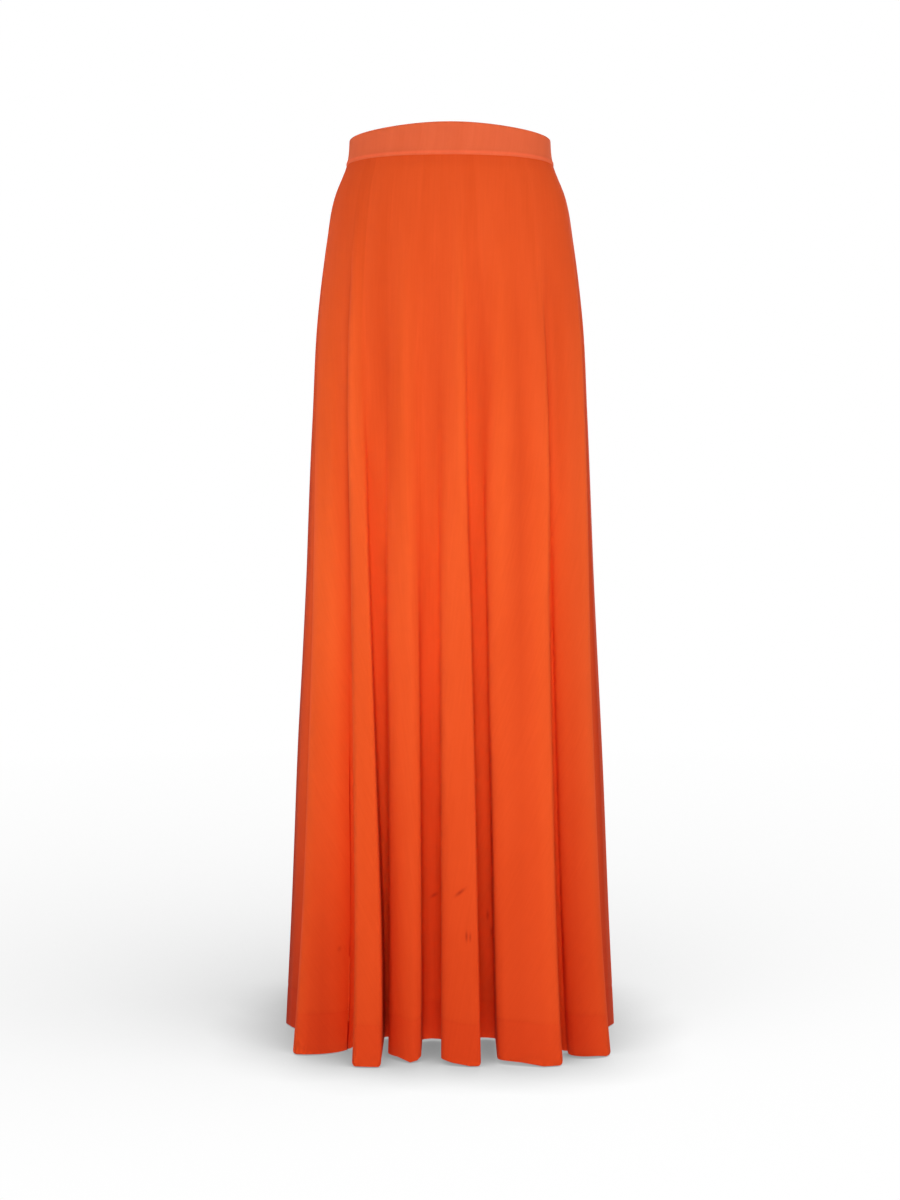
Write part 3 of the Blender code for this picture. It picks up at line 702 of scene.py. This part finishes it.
# ------------------------------------------------------------------------------
# The waistband, in a front and a back half. It is a strip of the same jersey, a little paler, folded over at
# its top edge so that it is double, shaped to be deepest at the centre, and sewn to the panels along its
# lower edge, where the turnings inside it make a soft ridge with a painted highlight along it.
# ------------------------------------------------------------------------------
BAND_PROUD = 0.0005  # how far its face stands out from the outline
BAND_TOP_SIDE, BAND_TOP_MIDDLE = 0.0125, 0.0180
BAND_FOLD = 0.0013  # radius of the fold at its top edge
BAND_EDGE = 0.0008  # radius of its sewn edge
RIDGE_UP, RIDGE_WIDE, RIDGE_OUT = 0.0036, 0.0022, 0.0007  # the ridge over the turnings
JOIN_DIP, JOIN_DIP_HALF = 0.0006, 0.0013  # the dip where its halves are joined at the sides
BAND_STEPS = 150  # round each half
EDGE_STEPS, FACE_STEPS, FOLD_STEPS = 4, 25, 10  # round its sewn edge, up its face and over its fold
JOIN_CROWDING = 0.9  # how much closer its columns lie at the joins
BESIDE = 0.5  # the degrees to either side of a point that give the outline's direction there
DEEP_PALE = (0.86, 0.140, 0.050)
LIGHT_PALE = (0.90, 0.155, 0.058)
# A painted highlight along the ridge over the turnings.
RIDGE_PAINTED_HIGHLIGHT = (1.10, 1.06, 1.10)


def band_section(height):
    """The section from the sewn edge up the face, over the fold and down the inside, by height of band.

    The results are the distance in from the face and the height above the sewn edge, rows by columns.
    """
    quarter = np.linspace(0, math.pi / 2, EDGE_STEPS + 1)[:, None]
    half_turn = np.linspace(0, math.pi, FOLD_STEPS + 1)[:, None]
    up_face = np.linspace(0, 1, FACE_STEPS + 1)[1:-1, None]
    face_up = BAND_EDGE + (height - BAND_FOLD - BAND_EDGE) * up_face
    even = np.ones_like(height)
    inward = [BAND_EDGE * (1 - np.sin(quarter)) * even, -RIDGE_OUT * bell(face_up - RIDGE_UP, RIDGE_WIDE)]
    inward += [BAND_FOLD * (1 - np.cos(half_turn)) * even, 2 * BAND_FOLD * even * np.ones_like(up_face)]
    up = [BAND_EDGE * (1 - np.cos(quarter)) * even, face_up]
    up += [height - BAND_FOLD * (1 - np.sin(half_turn)), face_up[::-1]]
    return np.concatenate(inward), np.concatenate(up)


def band_half(start, end):
    """Half of the waistband: its section carried round the outline, square to it, between two angles.

    Its columns lie closer at the joins, by a sine, and the section moves in there by a bell.
    """
    even = np.linspace(0, 1, BAND_STEPS + 1)[None, :]
    angle = start + (end - start) * (even - JOIN_CROWDING * np.sin(2 * math.pi * even) / (2 * math.pi))
    low = -rising(SEAM_AT_SIDE, SEAM_AT_MIDDLE, angle)
    high = rising(BAND_TOP_SIDE, BAND_TOP_MIDDLE, angle)
    inward, up = band_section(high - low)
    height = low + up
    angle = np.broadcast_to(angle, height.shape)
    place = outline(angle, -height)
    onward = outline(angle + BESIDE, -height) - outline(angle - BESIDE, -height)
    face_out = unit(np.stack([onward[..., 1], -onward[..., 0]], axis=-1))
    from_join = lengths_along(place, 1)
    from_join = np.minimum(from_join, from_join[:, -1:] - from_join)
    join_dip = JOIN_DIP * bell(from_join, JOIN_DIP_HALF)
    place = place + face_out * (BAND_PROUD - inward - join_dip)[..., None]
    return np.concatenate([place, height[..., None]], axis=-1)[::-1]


band_material, band_tree, band_colour = jersey("pale_orange_jersey", DEEP_PALE, LIGHT_PALE)
off_ridge = maths(band_tree, "SUBTRACT", on_cut(band_tree)["Y"], RIDGE_UP)
on_ridge = bell_node(band_tree, maths(band_tree, "DIVIDE", off_ridge, RIDGE_WIDE))
band_colour = multiplied(band_tree, band_colour, on_ridge, RIDGE_PAINTED_HIGHLIGHT)
give(band_tree, band_tree.nodes["Principled BSDF"], Base_Color=band_colour)
for name, node, start, end in (
    ("waistband_front_cloth", "waistband_front", -90, 90),
    ("waistband_back_cloth", "waistband_back", 90, 270),
):
    strip = band_half(start, end)
    strip_normals = unit(np.cross(np.gradient(strip, axis=0), np.gradient(strip, axis=1)))
    across, along = lengths_along(strip, 1), lengths_along(strip, 0)
    cut = (across, along[-1] - along)
    band = cloth_mesh(name, strip, strip_normals, JERSEY_THICK, cut, cut, band_material)
    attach(band, "root")
    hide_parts(node)

# ------------------------------------------------------------------------------
# The turnings of the side seams, inside the skirt. Each panel's edge lies back flat against it, from the
# waistband down to the hem, where the turned-up cloth covers it.
# ------------------------------------------------------------------------------
TURNING = 0.010
TURNING_COLUMNS = 6
TURNING_IN = 1.2 * JERSEY_THICK  # how far it lies inside the panel's outer face
TURNING_LIFT = 0.0009  # how far its free edge stands off the panel


def beside_seam(column, way):
    """A strip inside the panel beside a seam: on each level, points at even distances up to TURNING."""
    reach = (column + way * np.arange(2 * STEPS)) % (cloth.shape[1] - 1)
    rows = len(shares) - HEM_LEVELS + 2
    line, facing = cloth[:rows, reach], cloth_normals[:rows, reach]
    distance = lengths_along(line, 1)
    wanted = np.linspace(0, TURNING, TURNING_COLUMNS)
    index = np.clip((distance[:, None, :] <= wanted[None, :, None]).sum(axis=-1) - 1, 0, len(reach) - 2)
    level = np.arange(rows)[:, None]
    part = (wanted - distance[level, index]) / (distance[level, index + 1] - distance[level, index])
    place = line[level, index] + (line[level, index + 1] - line[level, index]) * part[..., None]
    normal = unit(facing[level, index] + (facing[level, index + 1] - facing[level, index]) * part[..., None])
    away = TURNING_IN + TURNING_LIFT * wanted / TURNING
    return (place - normal * away[:, None])[:, ::way], normal[:, ::way]


turnings = {}
for name, column, way in (
    ("left_turning_front", 0, 1),
    ("left_turning_back", 0, -1),
    ("right_turning_front", side_seam, -1),
    ("right_turning_back", side_seam, 1),
):
    strip, strip_normals = beside_seam(column, way)
    cut = (lengths_along(strip, 1), lengths_along(strip, 0))
    turning = cloth_mesh(name, strip, strip_normals, JERSEY_THICK, cut, cut, jersey_material)
    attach(turning, "root")
    turnings[name] = (strip[:, ::way], strip_normals[:, ::way])

# ------------------------------------------------------------------------------
# The turning of the waist seam, inside the skirt. The edges of the panel and of the waistband hang down
# together below the waistband as one narrow band of cloth.
# ------------------------------------------------------------------------------
WAIST_TURNING = 0.009
WAIST_TURNING_TOP, WAIST_TURNING_LEVELS = -0.2, 6  # it starts this share of its depth above the seam
WAIST_TURNING_IN = 2.4 * JERSEY_THICK
WAIST_TURNING_THICK = 1.6 * JERSEY_THICK  # two edges, pressed together
WAIST_LIFT = 0.0012

hang = np.linspace(WAIST_TURNING_TOP, 1.0, WAIST_TURNING_LEVELS)[:, None]
round_waist = folded_surface(hang * WAIST_TURNING / drop)
waist_normals = round_normals(round_waist)
round_waist = round_waist - waist_normals * (WAIST_TURNING_IN + WAIST_LIFT * np.clip(hang, 0, 1))[..., None]
for name, part in (("waist_turning_front", front_half), ("waist_turning_back", back_half)):
    strip, strip_normals = round_waist[:, part], waist_normals[:, part]
    cut = (lengths_along(strip, 1), lengths_along(strip, 0))
    turning = cloth_mesh(name, strip, strip_normals, WAIST_TURNING_THICK, cut, cut, jersey_material)
    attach(turning, "root")

# ------------------------------------------------------------------------------
# The overlock stitching over every raw edge inside: down the side seams' turnings, round the waist seam's
# and round the free edge of the hem. A looped polyester thread runs in and out over the edge, beside a
# straight line of it.
# ------------------------------------------------------------------------------
THREAD_RADIUS = 0.00017
THREAD_SIDES = 5
STITCH = 0.0032  # length of one stitch along the edge
STITCH_WIDE = 0.0038  # how far it reaches in from the edge
THREAD_DEEP = (0.74, 0.085, 0.016)
THREAD_LIGHT = (0.90, 0.150, 0.036)
STRANDS, STRAND_DEEP, STRAND_STRENGTH = 1600.0, 0.00005, 0.6  # its strands, in repeats a metre
THREAD_ROUGHNESS, THREAD_GLOSS = 0.45, 0.4


def thread_tubes(name, paths, facings, material):
    """One mesh of round tubes: about each path, circles of THREAD_RADIUS square to it, with closed ends."""
    turn = np.linspace(0, 2 * math.pi, THREAD_SIDES, endpoint=False)[:, None]
    points, faces, count = [], [], 0
    for path, facing in zip(paths, facings):
        onward = unit(np.gradient(path, axis=0))
        aside = unit(np.cross(onward, facing))
        upright = np.cross(aside, onward)
        spoke = np.cos(turn) * aside[:, None] + np.sin(turn) * upright[:, None]
        index = count + np.arange(len(path) * THREAD_SIDES).reshape(len(path), THREAD_SIDES)
        beside = np.roll(index, -1, axis=1)
        skin = np.stack([index[:-1], beside[:-1], beside[1:], index[1:]], axis=-1).reshape(-1, 4)
        points.append((path[:, None] + THREAD_RADIUS * spoke).reshape(-1, 3))
        faces += [*skin.tolist(), index[0, ::-1].tolist(), index[-1].tolist()]
        count += index.size
    mesh = bpy.data.meshes.new(name)
    mesh.from_pydata(np.concatenate(points), [], faces)
    return piece_of(mesh, material)


def overlock(edge, inner, facing):
    """Two paths beside an edge: a zigzag over it, and the straight line of its inner corners.

    `edge` and `inner` are lines of points on the edge and a short way in from it, and `facing` looks out of
    the cloth.
    """
    along = lengths_along(edge, 0)
    stitches = int(along[-1] / STITCH)
    places = np.linspace(0, along[-1], 2 * stitches + 1)
    row = np.interp(places, along, np.arange(len(edge)))
    low = np.clip(row.astype(int), 0, len(edge) - 2)
    part = (row - low)[:, None]
    edge, inner, facing = (line[low] + (line[low + 1] - line[low]) * part for line in (edge, inner, facing))
    inward = unit(inner - edge) * STITCH_WIDE
    lift = unit(facing) * THREAD_RADIUS
    zigzag = edge + inward * (np.arange(len(places)) % 2)[:, None] + lift
    return (zigzag, edge + inward + 2 * lift), (facing, facing)


thread_material, thread_tree, thread_shader = new_material("orange_thread")
place = add_node(thread_tree, "ShaderNodeTexCoord").outputs["Object"]
strands = add_node(thread_tree, "ShaderNodeTexNoise", Vector=place, Scale=STRANDS, Detail=1.0).outputs["Fac"]
colour = between(thread_tree, strands, THREAD_DEEP, THREAD_LIGHT)
normal = bumped(thread_tree, strands, STRAND_STRENGTH, STRAND_DEEP)
give(thread_tree, thread_shader, Base_Color=colour, Normal=normal)
give(thread_tree, thread_shader, Roughness=THREAD_ROUGHNESS, Specular_IOR_Level=THREAD_GLOSS)

stitched = [
    (strip[:, -1], strip[:, -3], -normals[:, -1], JERSEY_THICK) for strip, normals in turnings.values()
]
stitched.append((round_waist[-1], round_waist[-3], -waist_normals[-1], WAIST_TURNING_THICK))
stitched.append((cloth[-1], cloth[-3], cloth_normals[-1], 0.0))
for name, (edge, inner, facing, thick) in zip((*turnings, "waist", "hem"), stitched):
    edge, inner = edge + facing * thick, inner + facing * thick
    stitching = thread_tubes(f"{name}_overlock", *overlock(edge, inner, facing), thread_material)
    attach(stitching, "root")

# ------------------------------------------------------------------------------
# The floor, the lights and the camera.
# ------------------------------------------------------------------------------
FLOOR_BELOW = 1.0312
FLOOR_HALF = 6.0
FADE_FROM, FADE_TO = 1.6, 4.5  # the floor fades into the white room between these distances
SHADOW_SAMPLES = 32
# Two shadows painted into its glow: how far off the skirt still darkens it, how dark, and how it leans from
# the upright.
SOFT_REACH, SOFT_DARK, SOFT_LEAN = 2.5, 0.30, (0.5, -1.1, 0.0)
CLOSE_REACH, CLOSE_DARK, CLOSE_LEAN = 0.10, 0.40, (0.0, 0.7, 0.0)
SKY_FRONT, SKY_BACK = 0.56, 0.08  # how strongly the white room shines from the front and from the back
# The lights: the name, the place, the point it faces, its size, its watts and its beam in degrees.
LIGHTS = (
    ("key", (0.0, -3.0, -0.55), (0.0, 0.0, -0.55), 0.9, 2.8, 45.0),
    ("left", (-1.5, -0.8, -0.1), (0.0, 0.0, -0.5), 0.9, 5.0, 180.0),
    ("right", (1.5, -0.8, -0.1), (0.0, 0.0, -0.5), 0.9, 7.2, 180.0),
    ("back", (0.9, 3.0, 0.1), (0.0, 0.0, -0.5), 1.6, 72.0, 180.0),
    ("back_left", (-1.8, 1.6, -0.1), (0.0, 0.0, -0.5), 1.0, 14.0, 180.0),
)
EYE = (0.0, -2.2, -0.438)
HORIZON_ROW, IMAGE_ROWS = 520, 1200
FOCAL_ROWS = 1849.0  # the focal length, in rows of the image
SENSOR = 36.0


def shadow(tree, reach, dark, lean):
    """The floor's painted shadow: from `dark` to 1 by the share of the sky that nothing hides within a
    reach.
    """
    upward = add_node(tree, "ShaderNodeNewGeometry").outputs["Normal"]
    leaned = add_node(tree, "ShaderNodeVectorMath", {"operation": "ADD"}, i0=upward, i1=lean).outputs[0]
    leaned = add_node(tree, "ShaderNodeVectorMath", {"operation": "NORMALIZE"}, i0=leaned).outputs[0]
    open_sky = add_node(
        tree, "ShaderNodeAmbientOcclusion", {"samples": SHADOW_SAMPLES}, Distance=reach, Normal=leaned
    ).outputs["AO"]
    return ranged(tree, open_sky, 0.0, 1.0, dark, 1.0)


sides = ((-1, -1), (1, -1), (1, 1), (-1, 1))
floor_mesh = bpy.data.meshes.new("floor")
corners = [(x * FLOOR_HALF, y * FLOOR_HALF, -FLOOR_BELOW) for x, y in sides]
floor_mesh.from_pydata(corners, [], [(0, 1, 2, 3)])
floor_material, floor_tree, floor_shader = new_material("white_floor")
soft = shadow(floor_tree, SOFT_REACH, SOFT_DARK, SOFT_LEAN)
close = shadow(floor_tree, CLOSE_REACH, CLOSE_DARK, CLOSE_LEAN)
shaded = maths(floor_tree, "MULTIPLY", soft, close)
place = add_node(floor_tree, "ShaderNodeTexCoord").outputs["Object"]
off_middle = add_node(floor_tree, "ShaderNodeVectorMath", {"operation": "LENGTH"}, i0=place)
solid = ranged(floor_tree, off_middle.outputs["Value"], FADE_FROM, FADE_TO, 1.0, 0.0, "SMOOTHSTEP")
# The floor is no lamp, yet it glows white by itself, with the shadows painted into that glow.
give(floor_tree, floor_shader, Base_Color=(0.0, 0.0, 0.0, 1.0), Roughness=1.0, Specular_IOR_Level=0.0)
give(floor_tree, floor_shader, Emission_Color=shaded, Emission_Strength=1.0, Alpha=solid)
floor = piece_of(floor_mesh, floor_material)
floor.visible_diffuse = False


def soft_light(name, place, towards, size, watts, beam):
    """A square soft light that faces a point."""
    light = bpy.data.lights.new(name, "AREA")
    light.shape = "SQUARE"
    light.size = size
    light.energy = watts
    light.spread = math.radians(beam)
    lamp = bpy.data.objects.new(name, light)
    direction = np.array(towards) - np.array(place)
    tilt = math.acos(-direction[2] / np.linalg.norm(direction))
    lamp.location = place
    lamp.rotation_euler = (tilt, 0.0, math.atan2(direction[1], direction[0]) - math.pi / 2)
    bpy.context.scene.collection.objects.link(lamp)


for light in LIGHTS:
    soft_light(*light)

world = bpy.data.worlds.new("white_studio")
world.use_nodes = True
sky = world.node_tree
seen = add_node(sky, "ShaderNodeLightPath").outputs["Is Camera Ray"]
direction = add_node(sky, "ShaderNodeTexCoord").outputs["Generated"]
backward = add_node(sky, "ShaderNodeSeparateXYZ", Vector=direction).outputs["Y"]
shining = ranged(sky, backward, -1.0, 1.0, SKY_FRONT, SKY_BACK)
strength = ranged(sky, seen, 0.0, 1.0, shining, 1.0)
give(sky, sky.nodes["Background"], Color=(1.0, 1.0, 1.0, 1.0), Strength=strength)
bpy.context.scene.world = world
bpy.context.scene.view_settings.view_transform = "Standard"

lens = bpy.data.cameras.new("camera")
lens.sensor_width = SENSOR
lens.lens = SENSOR * FOCAL_ROWS / IMAGE_ROWS
lens.shift_y = (HORIZON_ROW - IMAGE_ROWS / 2) / IMAGE_ROWS
camera = bpy.data.objects.new("camera", lens)
camera.location = EYE
camera.rotation_euler = (math.pi / 2, 0.0, 0.0)
bpy.context.scene.collection.objects.link(camera)
bpy.context.scene.camera = camera
